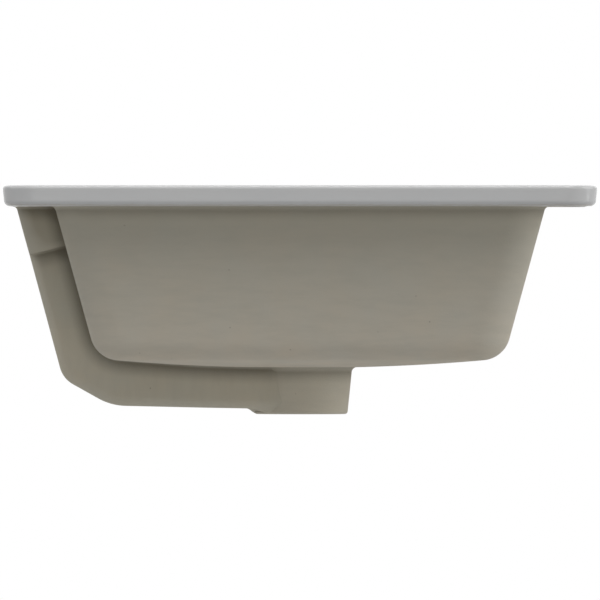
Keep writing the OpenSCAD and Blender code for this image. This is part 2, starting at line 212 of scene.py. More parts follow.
@dataclass(frozen=True)
class BasinSizes:
    """Sizes of the ware in millimetres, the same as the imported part's."""

    rim_w: float = 500.0
    rim_d: float = 395.0
    rim_h: float = 14.0
    rim_corner_r: float = 21.0
    rim_top_r: float = 2.3
    rim_foot_r: float = 4.0
    rim_draft: float = 6.0
    rim_ledge: float = 34.1
    bowl_depth: float = 101.4
    bowl_draft: float = 15.2
    bowl_corner_r: float = 22.0
    bowl_fillet_r: float = 19.5
    bowl_cove_r: float = 4.0
    let_in: float = 2.0
    wall_t: float = 10.0
    floor_t: float = 10.0
    inner_corner_r: float = 16.0
    inner_fillet_r: float = 14.0
    floor_fall: float = 5.5
    floor_angle: float = 5.0
    lip_r: float = 7.0
    glaze_t: float = 0.6
    outlet_d: float = 44.5
    boss_d: float = 63.4
    boss_h: float = 31.5
    boss_draft: float = 5.0
    boss_edge_r: float = 2.0
    boss_fillet_r: float = 2.5
    seat_d: float = 64.0
    seat_depth: float = 2.5
    slot_w: float = 50.0
    slot_h: float = 10.0
    slot_drop: float = 15.0

    @property
    def draft_tan(self) -> float:
        """Run of the bowl's wall per unit of height."""
        return tan(radians(self.bowl_draft))

    @property
    def wall_angle(self) -> float:
        """Slope of the bowl's wall above the level, in degrees."""
        return 90.0 - self.bowl_draft

    @property
    def turn_tan(self) -> float:
        """Tangent length of the fillet from wall to floor per unit radius."""
        return tan(radians((self.wall_angle - self.floor_angle) / 2))

    @property
    def ledge(self) -> Outline:
        """The rim's edge in the seat plane, before its draft."""
        return Outline(self.rim_w / 2, self.rim_d / 2, self.rim_corner_r, 0.0)

    @property
    def outside(self) -> Outline:
        """The bowl's outer face in the seat plane."""
        return self.ledge.moved(-self.rim_ledge, self.bowl_corner_r - self.rim_corner_r, 0.0)

    @property
    def inside(self) -> Outline:
        """The finished inner face in the seat plane."""
        shell = (self.wall_t + self.glaze_t) / cos(radians(self.bowl_draft))
        return self.outside.moved(-shell, self.inner_corner_r - self.bowl_corner_r, 0.0)

    @property
    def boss_top_r(self) -> float:
        """Radius of the boss where it meets the floor."""
        return self.boss_d / 2 + self.boss_h * tan(radians(self.boss_draft))

    @property
    def flat_r(self) -> float:
        """Radius of the level part of the floor round the outlet."""
        return max(self.boss_top_r + self.boss_fillet_r, self.seat_d / 2 + self.glaze_t) + 1

    @property
    def under_z(self) -> float:
        """Height of the floor's underside at the outlet."""
        return self.dished(-self.bowl_depth, self.bowl_fillet_r)

    @property
    def in_foot_z(self) -> float:
        """Height at which the finished inner wall would meet the floor."""
        return -self.bowl_depth + self.floor_t + self.glaze_t

    @property
    def dish_z(self) -> float:
        """Height of the finished floor at the outlet."""
        return self.dished(self.in_foot_z, self.inner_fillet_r)

    @property
    def seat_z(self) -> float:
        """Height of the recess that takes the flange of a waste."""
        return self.dish_z - self.seat_depth

    @property
    def boss_z(self) -> float:
        """Height of the boss's lower end."""
        return self.under_z - self.boss_h

    def dished(self, foot_z: float, r: float) -> float:
        """Height at the outlet of a floor that its wall would meet at foot_z."""
        return foot_z - r * self.turn_tan * sin(radians(self.floor_angle)) - self.floor_fall


@dataclass(frozen=True)
class WareProfile:
    """The ware's faces as outlines, each offset into the body by a depth."""

    size: BasinSizes

    WINDOW = (-5.5, -25.0)
    WALL_ROW = -50.0

    def rim_side(self, depth: float) -> list[Outline]:
        """The rim's side from the edge of its foot to the edge of its top.

        Args:
            depth: Distance into the body from the glazed face.

        Returns:
            The outlines from the foot upwards.
        """
        s = self.size
        top_r, foot_r, lean = s.rim_top_r, s.rim_foot_r, radians(s.rim_draft)
        rise = s.rim_h - top_r * (1 + sin(lean)) - foot_r * (1 - sin(lean))
        foot_in = top_r * (1 - cos(lean)) + rise * tan(lean) + foot_r * cos(lean)
        side = -90 - s.rim_draft
        foot = arc((foot_in, foot_r), foot_r - depth, -180, side, FACE_ARC)
        top = arc((top_r, s.rim_h - top_r), top_r - depth, side, 0, FACE_ARC)
        flat = (top[-1][0] + 0.6, top[-1][1])
        points = [*foot, *near_ends(foot[-1], top[0], 0.45), *top, flat]
        return [s.ledge.moved(-x, -x, z) for x, z in points]

    def lip(self, depth: float) -> list[Outline]:
        """The rolled lip from the top of the rim down to the wall.

        Args:
            depth: Distance into the body from the glazed face.

        Returns:
            The outlines from the top downwards.
        """
        s = self.size
        steep = radians(s.wall_angle)
        middle = s.rim_h * s.draft_tan + s.lip_r * tan(steep / 2)
        foot = middle - s.lip_r * sin(steep)
        turn = arc((middle, s.rim_h - s.lip_r), s.lip_r - depth, 0, -s.wall_angle, FACE_ARC + 4)
        x, z = turn[-1]
        end = s.inside.moved(x - 0.6 * s.draft_tan, x - foot, z - 0.6)
        return [*rolled(s.inside, [(middle + 0.8, s.rim_h - depth), *turn], foot), end]

    def wall(self, depth: float, heights: Iterable[float]) -> list[Outline]:
        """The straight inner wall at the given heights, offset by depth."""
        base = depth / cos(radians(self.size.bowl_draft))
        return [self.size.inside.moved(base + z * self.size.draft_tan, depth, z) for z in heights]

    def fillet(
        self, face: Outline, foot_z: float, r: float, depth: float, count: int
    ) -> tuple[float, list[Outline]]:
        """The fillet from a wall to the floor.

        Args:
            face: The wall's face in the seat plane.
            foot_z: Height at which the wall would meet the floor.
            r: Radius of the fillet.
            depth: Growth of the radius by the offset into the body.
            count: Number of steps.

        Returns:
            The height at which it starts, and its outlines downwards.
        """
        s = self.size
        lean, steep = radians(s.bowl_draft), radians(s.wall_angle)
        reach = r * s.turn_tan
        start_x = foot_z * s.draft_tan + reach * sin(lean)
        start_z = foot_z + reach * cos(lean)
        middle = (start_x - r * sin(steep), start_z + r * cos(steep))
        turn = arc(middle, r + depth, 180 - s.wall_angle, 180 - s.floor_angle, count)
        return start_z, rolled(face, turn, start_x)

    def well(self, depth: float) -> list[Outline]:
        """The inner wall's window rows and the fillet down to the floor.

        Args:
            depth: Distance into the body from the glazed face.

        Returns:
            The outlines from the top row of the window downwards.
        """
        s = self.size
        start_z, turn = self.fillet(s.inside, s.in_foot_z, s.inner_fillet_r, depth, FACE_ARC + 4)
        return self.wall(depth, (*self.WINDOW, self.WALL_ROW, start_z + 1.2 + depth)) + turn

    def shell(self) -> list[Outline]:
        """The bowl's outer face from its cove to the foot of its fillet.

        Returns:
            The outlines from the top downwards.
        """
        s, r = self.size, self.size.bowl_cove_r
        steep = radians(s.wall_angle)
        back = r * tan(steep / 2)
        cove = rolled(s.outside, arc((back, -r), r, 0, -s.wall_angle, EDGE_ARC), back - r * sin(steep))
        start_z, turn = self.fillet(s.outside, -s.bowl_depth, s.bowl_fillet_r, 0.0, FACE_ARC + 6)
        rows = (-r, *self.WINDOW, self.WALL_ROW, start_z + 1.5)
        return cove + [s.outside.moved(z * s.draft_tan, 0.0, z) for z in rows] + turn

    def floor(self, edge: Outline, centre_z: float, steps: int = 14) -> list[Lap]:
        """The dished floor from the fillet's foot to the flat at the outlet.

        Args:
            edge: Outline at the foot of the fillet.
            centre_z: Height of the flat.
            steps: Number of laps.

        Returns:
            The laps from the outside inwards.
        """
        flat = self.size.flat_r
        span = edge.half_y**2 - flat**2
        laps = []
        for k in range(1, steps + 1):
            share = k / steps
            u = edge.half_y + share * (flat - edge.half_y)
            z = centre_z + (edge.z - centre_z) * (u * u - flat * flat) / span
            laps.append(edge.toward_circle(flat, z, share))
        return laps

    def front_y(self, z: float, depth: float) -> float:
        """Where the inner front wall, offset by depth, stands at height z."""
        return -self.wall(depth, (z,))[0].half_y

    def front_outer_y(self, z: float) -> float:
        """Where the bowl's outer front wall stands at height z."""
        return -(self.size.outside.half_y + z * self.size.draft_tan)

    def slot_loop(self, grow: float, face: Callable[[float], float], back: float = 0.0) -> Lap:
        """The overflow slot's outline on a face.

        Args:
            grow: Growth of the slot all round.
            face: Gives y on the face at a height.
            back: How far in front of the face the loop lies.

        Returns:
            The points of the loop.
        """
        s = self.size
        points = [(x, up - s.slot_drop) for x, up in long_round(s.slot_w, s.slot_h, grow)]
        return [Vector((x, face(z) - back, z)) for x, z in points]


# Meshes


def placed(name: str, data: bpy.types.ID) -> Piece:
    """Puts new data into the scene as an object at the origin.

    Args:
        name: Name of the object.
        data: Its mesh, light or camera.

    Returns:
        The object.
    """
    piece = bpy.data.objects.new(name, data)
    bpy.context.scene.collection.objects.link(piece)
    return piece


def finished(name: str, bm: bmesh.types.BMesh) -> Piece:
    """Turns a bmesh into an object, and frees the bmesh.

    Args:
        name: Name of the object and of its mesh.
        bm: The bmesh.

    Returns:
        The object.
    """
    mesh = bpy.data.meshes.new(name)
    bm.to_mesh(mesh)
    bm.free()
    return placed(name, mesh)


def smooth(mesh: bpy.types.Mesh) -> None:
    """Shades a mesh smooth, with sharp edges where it turns by 40 degrees."""
    mesh.shade_smooth()
    mesh.set_sharp_from_angle(angle=radians(40))


def outward(bm: bmesh.types.BMesh) -> None:
    """Turns a closed mesh's faces outwards."""
    bmesh.ops.recalc_face_normals(bm, faces=bm.faces)


class Skin:
    """A surface grown lap by lap out of one ring of edges."""

    WINDOW_HALF = 41.0
    WALL_REACH = 4.0

    def __init__(self, lap: Lap) -> None:
        """Starts the skin at its first lap."""
        self.bm = bmesh.new()
        self.first = self.last = self.ring_on(lap)

    @staticmethod
    def _place(verts: Ring, lap: Lap) -> Ring:
        """Moves a ring's points onto a lap.

        Args:
            verts: The ring.
            lap: The points, in millimetres.

        Returns:
            The ring.
        """
        for vert, point in zip(verts, lap):
            vert.co = point * MM
        return list(verts)

    def ring_on(self, loop: Lap) -> Ring:
        """Adds a free ring of edges along a loop, and returns its points."""
        made = bmesh.ops.create_circle(self.bm, cap_ends=False, segments=len(loop), radius=1.0)
        return self._place(made["verts"], loop)

    def ring_edges(self, ring: Ring) -> Edges:
        """The edges round a ring of the skin."""
        return [self.bm.edges.get(pair) for pair in zip(ring, [*ring[1:], ring[0]])]

    def grow(self, lap: Lap) -> None:
        """Extends the skin from its last ring to another lap.

        Args:
            lap: The points of the new ring.
        """
        grown = bmesh.ops.extrude_edge_only(self.bm, edges=self.ring_edges(self.last))
        fresh = {v for v in grown["geom"] if isinstance(v, bmesh.types.BMVert)}
        ring = []
        for vert in self.last:
            ends = (edge.other_vert(vert) for edge in vert.link_edges)
            ring.append(next(end for end in ends if end in fresh))
        self.last = self._place(ring, lap)

    def loft(self, rows: Iterable[Outline | Lap]) -> None:
        """Extends the skin through outlines or laps."""
        for row in rows:
            self.grow(row.lap() if isinstance(row, Outline) else row)

    def close_round(self) -> None:
        """Joins the last ring to the first, as in a tube bent into a loop."""
        self.grow([v.co / MM for v in self.first])
        bmesh.ops.remove_doubles(self.bm, verts=self.bm.verts, dist=1e-7)

    def cap_ends(self) -> None:
        """Closes both ends with a face each."""
        for ring in (self.first, self.last):
            bmesh.ops.contextual_create(self.bm, geom=self.ring_edges(ring))

    def clear_window(self, rows: Pair, near_y: float) -> Edges:
        """Takes the front wall's window out of the skin.

        Args:
            rows: Heights of the window's top and foot.
            near_y: Where the wall stands, to tell it from the other skins.

        Returns:
            The edges round the window.
        """
        pane = []
        for face in self.bm.faces:
            at = face.calc_center_median() / MM
            inside = rows[1] < at.z < rows[0] and abs(at.x) < self.WINDOW_HALF
            if inside and abs(at.y - near_y) < self.WALL_REACH:
                pane.append(face)
        kept = set(self.bm.faces) - set(pane)
        round_it = [e for face in pane for e in face.edges if kept.intersection(e.link_faces)]
        bmesh.ops.delete(self.bm, geom=pane, context="FACES")
        return round_it

    def fill_window(self, round_it: Edges, ring: Ring) -> None:
        """Fills a window from its edges up to a ring that stays open."""
        edges = [*round_it, *self.ring_edges(ring)]
        bmesh.ops.triangle_fill(self.bm, use_beauty=True, use_dissolve=False, edges=edges)

    def finish(self, name: str) -> Piece:
        """Turns the skin into a smooth-shaded object at the origin.

        Args:
            name: Name of the piece.

        Returns:
            The piece.
        """
        piece = finished(name, self.bm)
        smooth(piece.data)
        return piece


# Finishes


def linear(code: str) -> tuple[float, float, float, float]:
    """Turns an sRGB hex value into a linear colour.

    Args:
        code: Colour such as "#C8C0AE".

    Returns:
        The linear red, green, blue and alpha.
    """
    parts = [int(code[i : i + 2], 16) / 255 for i in (1, 3, 5)]
    made = [c / 12.92 if c <= 0.04045 else ((c + 0.055) / 1.055) ** 2.4 for c in parts]
    return made[0], made[1], made[2], 1.0


def add(
    tree: bpy.types.NodeTree, kind: str, settings: dict[str, Any] | None = None, **links: Any
) -> bpy.types.Node:
    """Adds a node with its settings, socket values and links.

    Args:
        tree: Node tree to add to.
        kind: Node type without its "ShaderNode", such as "Mix".
        settings: Properties of the node.
        links: Socket name, with "_" for a space, to a value, an output socket,
            or a node whose first output in use is meant. A name such as "i6"
            means the input at that index, and a hex value a linear colour.

    Returns:
        The node.
    """
    node = tree.nodes.new("ShaderNode" + kind)
    for key, value in (settings or {}).items():
        setattr(node, key, value)
    for key, value in links.items():
        socket = node.inputs[int(key[1:]) if key[1:].isdigit() else key.replace("_", " ")]
        if isinstance(value, bpy.types.Node):
            value = next(output for output in value.outputs if output.enabled)
        if isinstance(value, bpy.types.NodeSocket):
            tree.links.new(value, socket)
        else:
            socket.default_value = linear(value) if isinstance(value, str) else value
    return node


def empty_tree(owner: bpy.types.Material | bpy.types.World) -> bpy.types.NodeTree:
    """Gives a material or a world an empty node tree.

    Args:
        owner: The material or the world.

    Returns:
        Its node tree.
    """
    owner.use_nodes = True
    owner.node_tree.nodes.clear()
    return owner.node_tree


class Slot(Enum):
    """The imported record's material slots."""

    RIM = "biscuit_rim"
    BOWL = "biscuit_bowl"
    GLAZE = "white_glaze"
    BOSS = "biscuit_boss"
    HOOD = "biscuit_hood"
    RISER = "biscuit_riser"
    RUN = "biscuit_run"


class Wipe(Enum):
    """Which way the sponge was drawn, as the stretch of its pattern."""

    ACROSS = (1.0, 1.0, 5.0)
    DOWN = (4.0, 4.0, 1.0)


@dataclass(frozen=True)
class Grain:
    """One layer of pattern: the size of its features and how much it shows."""

    size_mm: float
    share: float

    @property
    def scale(self) -> float:
        """Scale of a pattern whose features are about this size, in metres."""
        return 1.0 / (self.size_mm * MM)


@dataclass(frozen=True)
class Specks(Grain):
    """Specks, one to a cell of this size: solid in the core, gone at the edge.

    The core and the edge are radii, as shares of the cell's size.
    """

    core: float
    edge: float
    colour: str

    def over(
        self, tree: bpy.types.NodeTree, place: bpy.types.NodeSocket, under: bpy.types.Node
    ) -> bpy.types.Node:
        """Lays the specks over a colour.

        Args:
            tree: Node tree of the finish.
            place: Where the pattern is read.
            under: Node that gives the colour.

        Returns:
            The node that gives the speckled colour.
        """
        spots = add(tree, "TexVoronoi", Vector=place, Scale=self.scale)
        ends = {"From_Min": self.core, "From_Max": self.edge, "To_Min": self.share, "To_Max": 0.0}
        dot = add(tree, "MapRange", Value=spots, **ends)
        return add(tree, "Mix", COLOURS, i0=dot, i6=under, i7=self.colour)


@dataclass(frozen=True)
class FiredGlaze:
    """Opaque white sanitary glaze, sprayed and fired to a glass.

    It gives the eye a bright, nearly neutral white with a sharp reflection
    that swims a little, because the glaze lies in low waves from its flow. At
    the foot of the rim's side it ends in a thin ragged edge.
    """

    name: str = "fired_white_glaze"
    base: str = "#DADAD9"
    cool: str = "#D4D5D6"
    thin: str = "#BDB5A3"
    roughness: float = 0.07
    ior: float = 1.52
    flow: Grain = Grain(11.0, 0.05)
    ripple: Grain = Grain(2.6, 0.012)
    tone: Grain = Grain(70.0, 0.05)
    pinholes: Specks = Specks(17.0, 0.5, 0.012, 0.026, "#8F877B")
    ragged: Grain = Grain(5.0, 1.6)
    foot_mm: float = 0.7
    foot_share: float = 0.55
    foot_beyond: tuple[float, float, float] = (0.232, 0.180, 0.0)

    def build(self) -> bpy.types.Material:
        """Builds the glaze's nodes.

        Returns:
            The material.
        """
        mat = bpy.data.materials.new(self.name)
        tree = empty_tree(mat)
        place = add(tree, "TexCoord").outputs["Object"]
        drift = add(
            tree, "TexNoise", Vector=place, Scale=self.tone.scale, Detail=3.0, Roughness=0.5
        )
        tone = add(tree, "Mix", COLOURS, i0=drift, i6=self.base, i7=self.cool)
        dotted = self.pinholes.over(tree, place, tone)
        ragged = add(tree, "TexNoise", Vector=place, Scale=self.ragged.scale, Detail=4.0)
        height = add(tree, "SeparateXYZ", Vector=place).outputs["Z"]
        rag = -self.ragged.share * MM
        wander = add(tree, "Math", {"operation": "MULTIPLY_ADD"}, i0=ragged, i1=rag, i2=height)
        above = add(tree, "Math", {"operation": "ABSOLUTE"}, i0=wander)
        edge = add(
            tree, "MapRange", Value=above, From_Min=0.0, From_Max=self.foot_mm * MM,
            To_Min=self.foot_share, To_Max=0.0,
        )
        mirrored = add(tree, "VectorMath", {"operation": "ABSOLUTE"}, i0=place)
        beyond = add(
            tree, "VectorMath", {"operation": "SUBTRACT"}, i0=mirrored, i1=self.foot_beyond
        )
        side = add(tree, "SeparateXYZ", Vector=beyond).outputs
        further = add(tree, "Math", {"operation": "MAXIMUM"}, i0=side["X"], i1=side["Y"])
        outside = add(tree, "MapRange", Value=further, From_Min=0.0, From_Max=2.0 * MM)
        foot = add(tree, "Math", {"operation": "MULTIPLY"}, i0=edge, i1=outside)
        colour = add(tree, "Mix", COLOURS, i0=foot, i6=dotted, i7=self.thin)
        flow = add(tree, "TexNoise", Vector=place, Scale=self.flow.scale, Detail=1.0)
        ripple = add(tree, "TexNoise", Vector=place, Scale=self.ripple.scale, Detail=2.0)
        waves = add(tree, "Bump", Strength=self.flow.share, Distance=1.0 * MM, Height=flow)
        fine = add(
            tree, "Bump", Strength=self.ripple.share, Distance=1.0 * MM, Height=ripple, Normal=waves
        )
        gloss = add(
            tree, "MapRange", Value=drift, From_Min=0.3, From_Max=0.7,
            To_Min=self.roughness, To_Max=self.roughness + self.tone.share,
        )
        shade = add(
            tree, "BsdfPrincipled", Base_Color=colour, Roughness=gloss, IOR=self.ior, Normal=fine
        )
        add(tree, "OutputMaterial", Surface=shade)
        return mat


@dataclass(frozen=True)
class BareBody:
    """Fired vitreous body with no glaze, sponged smooth before firing.

    It gives the eye a dry warm grey-beige with a soft fine tooth, slow
    changes of tone from the sponge, painted shade that darkens it towards the
    rim as far as its rim shade share says, painted shade in its nooks and a
    few iron specks.
    """

    name: str
    base: str = "#D0CFC2"
    warm: str = "#D9CEB9"
    dark: str = "#C6C1B2"
    # Painted shade under the rim's ledge: its colour, its share at the top, and the heights in mm over
    # which it grows.
    rim_shade_colour: str = "#BFBDAF"
    rim_shade_share: float = 0.0
    rim_shade_mm: Pair = (-105.0, -15.0)
    roughness: float = 0.86
    ior: float = 1.5
    tooth: Grain = Grain(0.9, 0.22)
    sponge: Grain = Grain(9.0, 0.10)
    tone: Grain = Grain(34.0, 0.24)
    iron: Specks = Specks(12.0, 0.6, 0.02, 0.045, "#7C705E")
    # Painted shade in nooks and along joints, within this reach of other faces.
    crevice_painted_shade: str = "#6E6758"
    crevice_shade_mm: float = 12.0
    wipe: Wipe = Wipe.DOWN

    def build(self) -> bpy.types.Material:
        """Builds the bare body's nodes.

        Returns:
            The material.
        """
        mat = bpy.data.materials.new(self.name)
        tree = empty_tree(mat)
        place = add(tree, "TexCoord").outputs["Object"]
        drift = add(
            tree, "TexNoise", Vector=place, Scale=self.tone.scale, Detail=4.0, Roughness=0.55
        )
        tone = add(tree, "Mix", COLOURS, i0=drift, i6=self.base, i7=self.warm)
        drawn = add(tree, "Mapping", Vector=place, Scale=self.wipe.value)
        wiped = add(
            tree, "TexNoise", Vector=drawn, Scale=self.sponge.scale * 0.35, Detail=5.0, Roughness=0.6
        )
        smear = add(
            tree, "MapRange", Value=wiped, From_Min=0.42, From_Max=0.72,
            To_Min=0.0, To_Max=self.tone.share,
        )
        smeared = add(tree, "Mix", COLOURS, i0=smear, i6=tone, i7=self.dark)
        # Painted shade under the rim: darker towards the rim shade colour from the lower height up to
        # the upper one.
        height = add(tree, "SeparateXYZ", Vector=place).outputs["Z"]
        low, high = (z * MM for z in self.rim_shade_mm)
        upward = add(
            tree, "MapRange", Value=height, From_Min=low, From_Max=high,
            To_Min=0.0, To_Max=self.rim_shade_share,
        )
        fired = add(tree, "Mix", COLOURS, i0=upward, i6=smeared, i7=self.rim_shade_colour)
        colour = self.iron.over(tree, place, fired)
        # Painted shade: darker towards the crevice colour where ambient occlusion finds other faces
        # close by.
        nook = add(tree, "AmbientOcclusion", {"samples": 12}, Distance=self.crevice_shade_mm * MM)
        shaded = add(
            tree, "MapRange", Value=nook.outputs["AO"], From_Min=0.55, From_Max=1.0,
            To_Min=0.85, To_Max=0.0,
        )
        with_nook_shade = add(tree, "Mix", COLOURS, i0=shaded, i6=colour, i7=self.crevice_painted_shade)
        grit = add(
            tree, "TexNoise", Vector=place, Scale=self.tooth.scale, Detail=3.0, Roughness=0.65
        )
        swell = add(tree, "Bump", Strength=self.sponge.share, Distance=1.0 * MM, Height=wiped)
        tooth = add(
            tree, "Bump", Strength=self.tooth.share, Distance=0.4 * MM, Height=grit, Normal=swell
        )
        dry = add(
            tree, "MapRange", Value=grit, From_Min=0.3, From_Max=0.7,
            To_Min=self.roughness - 0.06, To_Max=self.roughness + 0.06,
        )
        shade = add(
            tree, "BsdfPrincipled", Base_Color=with_nook_shade, Roughness=dry, IOR=self.ior, Normal=tooth
        )
        add(tree, "OutputMaterial", Surface=shade)
        return mat


# Pieces


def hand_over(piece: Piece, node: str, finish: FiredGlaze | BareBody) -> None:
    """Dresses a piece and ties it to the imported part.

    Args:
        piece: The piece.
        node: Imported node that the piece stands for.
        finish: Finish of the piece.
    """
    piece.data.materials.clear()
    piece.data.materials.append(finish.build())
    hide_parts(node)
    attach(piece, "root")
    LOG.info("%s: %d faces", piece.name, len(piece.data.polygons))


@dataclass
class RimCasting:
    """The flat cast ledge, with the mouth cut through it."""

    size: BasinSizes
    profile: WareProfile

    def build(self) -> Piece:
        """Lofts the ledge round its section.

        Returns:
            The piece.
        """
        s, p = self.size, self.profile
        cove = p.shell()[0]
        skin = Skin(cove.lap())
        skin.loft([*p.rim_side(s.glaze_t), *p.lip(s.glaze_t), *p.wall(s.glaze_t, (s.let_in,))])
        skin.loft([cove.moved(0.0, 0.0, s.let_in)])
        skin.close_round()
        outward(skin.bm)
        return skin.finish("rim_casting")

    def dress(self, piece: Piece) -> None:
        """Gives the ledge its ground bare body."""
        hand_over(piece, "rim", BareBody("bare_body_ground_seat"))


@dataclass
class BowlCasting:
    """The drafted cast bowl, its dished floor, outlet and slot."""

    size: BasinSizes
    profile: WareProfile
    slot_r: float = 1.4
    tree: BVHTree | None = None

    def build(self) -> Piece:
        """Lofts the bowl round its section.

        Returns:
            The piece.
        """
        s, p, t = self.size, self.profile, self.size.glaze_t
        bore, recess = s.outlet_d / 2, s.seat_d / 2 + t
        shell, well = p.shell(), p.well(t)
        skin = Skin(circle_lap(bore, s.under_z))
        skin.grow(circle_lap(bore + 6, s.under_z))
        skin.loft([*reversed(p.floor(shell[-1], s.under_z)), *reversed(shell)])
        skin.loft([shell[0].moved(0.0, 0.0, s.let_in), *p.wall(t, (s.let_in, 0.0)), *well])
        skin.loft(p.floor(well[-1], s.dish_z - t))
        steps = ((recess, s.dish_z), (recess, s.seat_z), (bore, s.seat_z))
        skin.loft(circle_lap(r, z - t) for r, z in steps)
        skin.close_round()
        self._cut_slot(skin)
        outward(skin.bm)
        self.tree = BVHTree.FromBMesh(skin.bm)
        return skin.finish("bowl_casting")

    def _cut_slot(self, skin: Skin) -> None:
        """Cuts the slot through the front wall, which is flush with the glaze inside.

        Args:
            skin: The bowl's skin.
        """
        s, p, t = self.size, self.profile, self.size.glaze_t
        inner = partial(p.front_y, depth=t)
        near = skin.clear_window(p.WINDOW, inner(-s.slot_drop))
        far = skin.clear_window(p.WINDOW, p.front_outer_y(-s.slot_drop))
        skin.last = skin.ring_on(p.slot_loop(t + self.slot_r + 0.4, inner))
        skin.fill_window(near, skin.last)
        skin.loft(p.slot_loop(t + out, inner, back) for out, back in roll(self.slot_r, 5))
        skin.grow(p.slot_loop(t, inner, 4.0))
        skin.grow(p.slot_loop(0.0, inner, 4.1))
        skin.grow(p.slot_loop(0.0, p.front_outer_y, -0.3))
        skin.grow(p.slot_loop(0.3, p.front_outer_y))
        skin.fill_window(far, skin.last)

    def dress(self, piece: Piece) -> None:
        """Gives the bowl its sponged bare body, with painted shade towards the rim.

        Args:
            piece: The bowl.
        """
        # A slightly lighter base, and painted shade that darkens the wall towards the rim's ledge.
        finish = BareBody(
            "bare_body_bowl_painted_shade", "#D2CFC3", "#DDD0BB", rim_shade_share=0.58, tone=Grain(34.0, 0.42),
            wipe=Wipe.ACROSS,
        )
        hand_over(piece, "bowl", finish)


@dataclass
class GlazeCoat:
    """The fired glaze over the rim, the lip, the inside and the recess."""

    size: BasinSizes
    profile: WareProfile
    slot_r: float = 2.0
    slot_in: float = 4.2
    recess_r: float = 1.0
    seat_r: float = 0.8
    bore_r: float = 0.9

    def build(self) -> Piece:
        """Lofts the glazed face and gives it its thickness.

        Returns:
            The piece.
        """
        s, p = self.size, self.profile
        side, well = p.rim_side(0.0), p.well(0.0)
        skin = Skin(side[0].lap())
        skin.loft([*side[1:], *p.lip(0.0), *well, *p.floor(well[-1], s.dish_z), *self._recess()])
        self._slot(skin)
        outward(skin.bm)
        top = max(skin.bm.faces, key=lambda face: face.calc_center_median().z)
        if top.normal.z < 0:
            bmesh.ops.reverse_faces(skin.bm, faces=skin.bm.faces)
        bmesh.ops.solidify(skin.bm, geom=list(skin.bm.faces), thickness=s.glaze_t * MM)
        return skin.finish("glaze_coat_fired")

    def _recess(self) -> list[Lap]:
        """Laps that roll down into the recess and over the bore's edge.

        Returns:
            The laps from the floor down to the bore.
        """
        s, rim, foot, edge = self.size, self.recess_r, self.seat_r, self.bore_r
        seat, bore = s.seat_d / 2, s.outlet_d / 2
        points = [(seat + rim + 0.5, s.dish_z)]
        points += arc((seat + rim, s.dish_z - rim), rim, 0, -90, EDGE_ARC)
        points += arc((seat - foot, s.seat_z + foot), foot, 90, 180, EDGE_ARC)
        points += [(seat - foot - 0.5, s.seat_z), (bore + edge + 0.5, s.seat_z)]
        points += arc((bore + edge, s.seat_z - edge), edge, 0, -90, EDGE_ARC)
        return [circle_lap(r, z) for r, z in points]

    def _slot(self, skin: Skin) -> None:
        """Rolls the glaze into the overflow slot.

        Args:
            skin: The coat's skin.
        """
        p = self.profile
        face = partial(p.front_y, depth=0.0)
        window = skin.clear_window(p.WINDOW, face(-self.size.slot_drop))
        skin.last = skin.ring_on(p.slot_loop(self.slot_r + 0.4, face))
        skin.fill_window(window, skin.last)
        skin.loft(p.slot_loop(out, face, back) for out, back in roll(self.slot_r, EDGE_ARC))
        skin.grow(p.slot_loop(0.0, face, self.slot_in))

    def dress(self, piece: Piece) -> None:
        """Gives the coat its fired white glaze."""
        hand_over(piece, "glaze_coat", FiredGlaze())


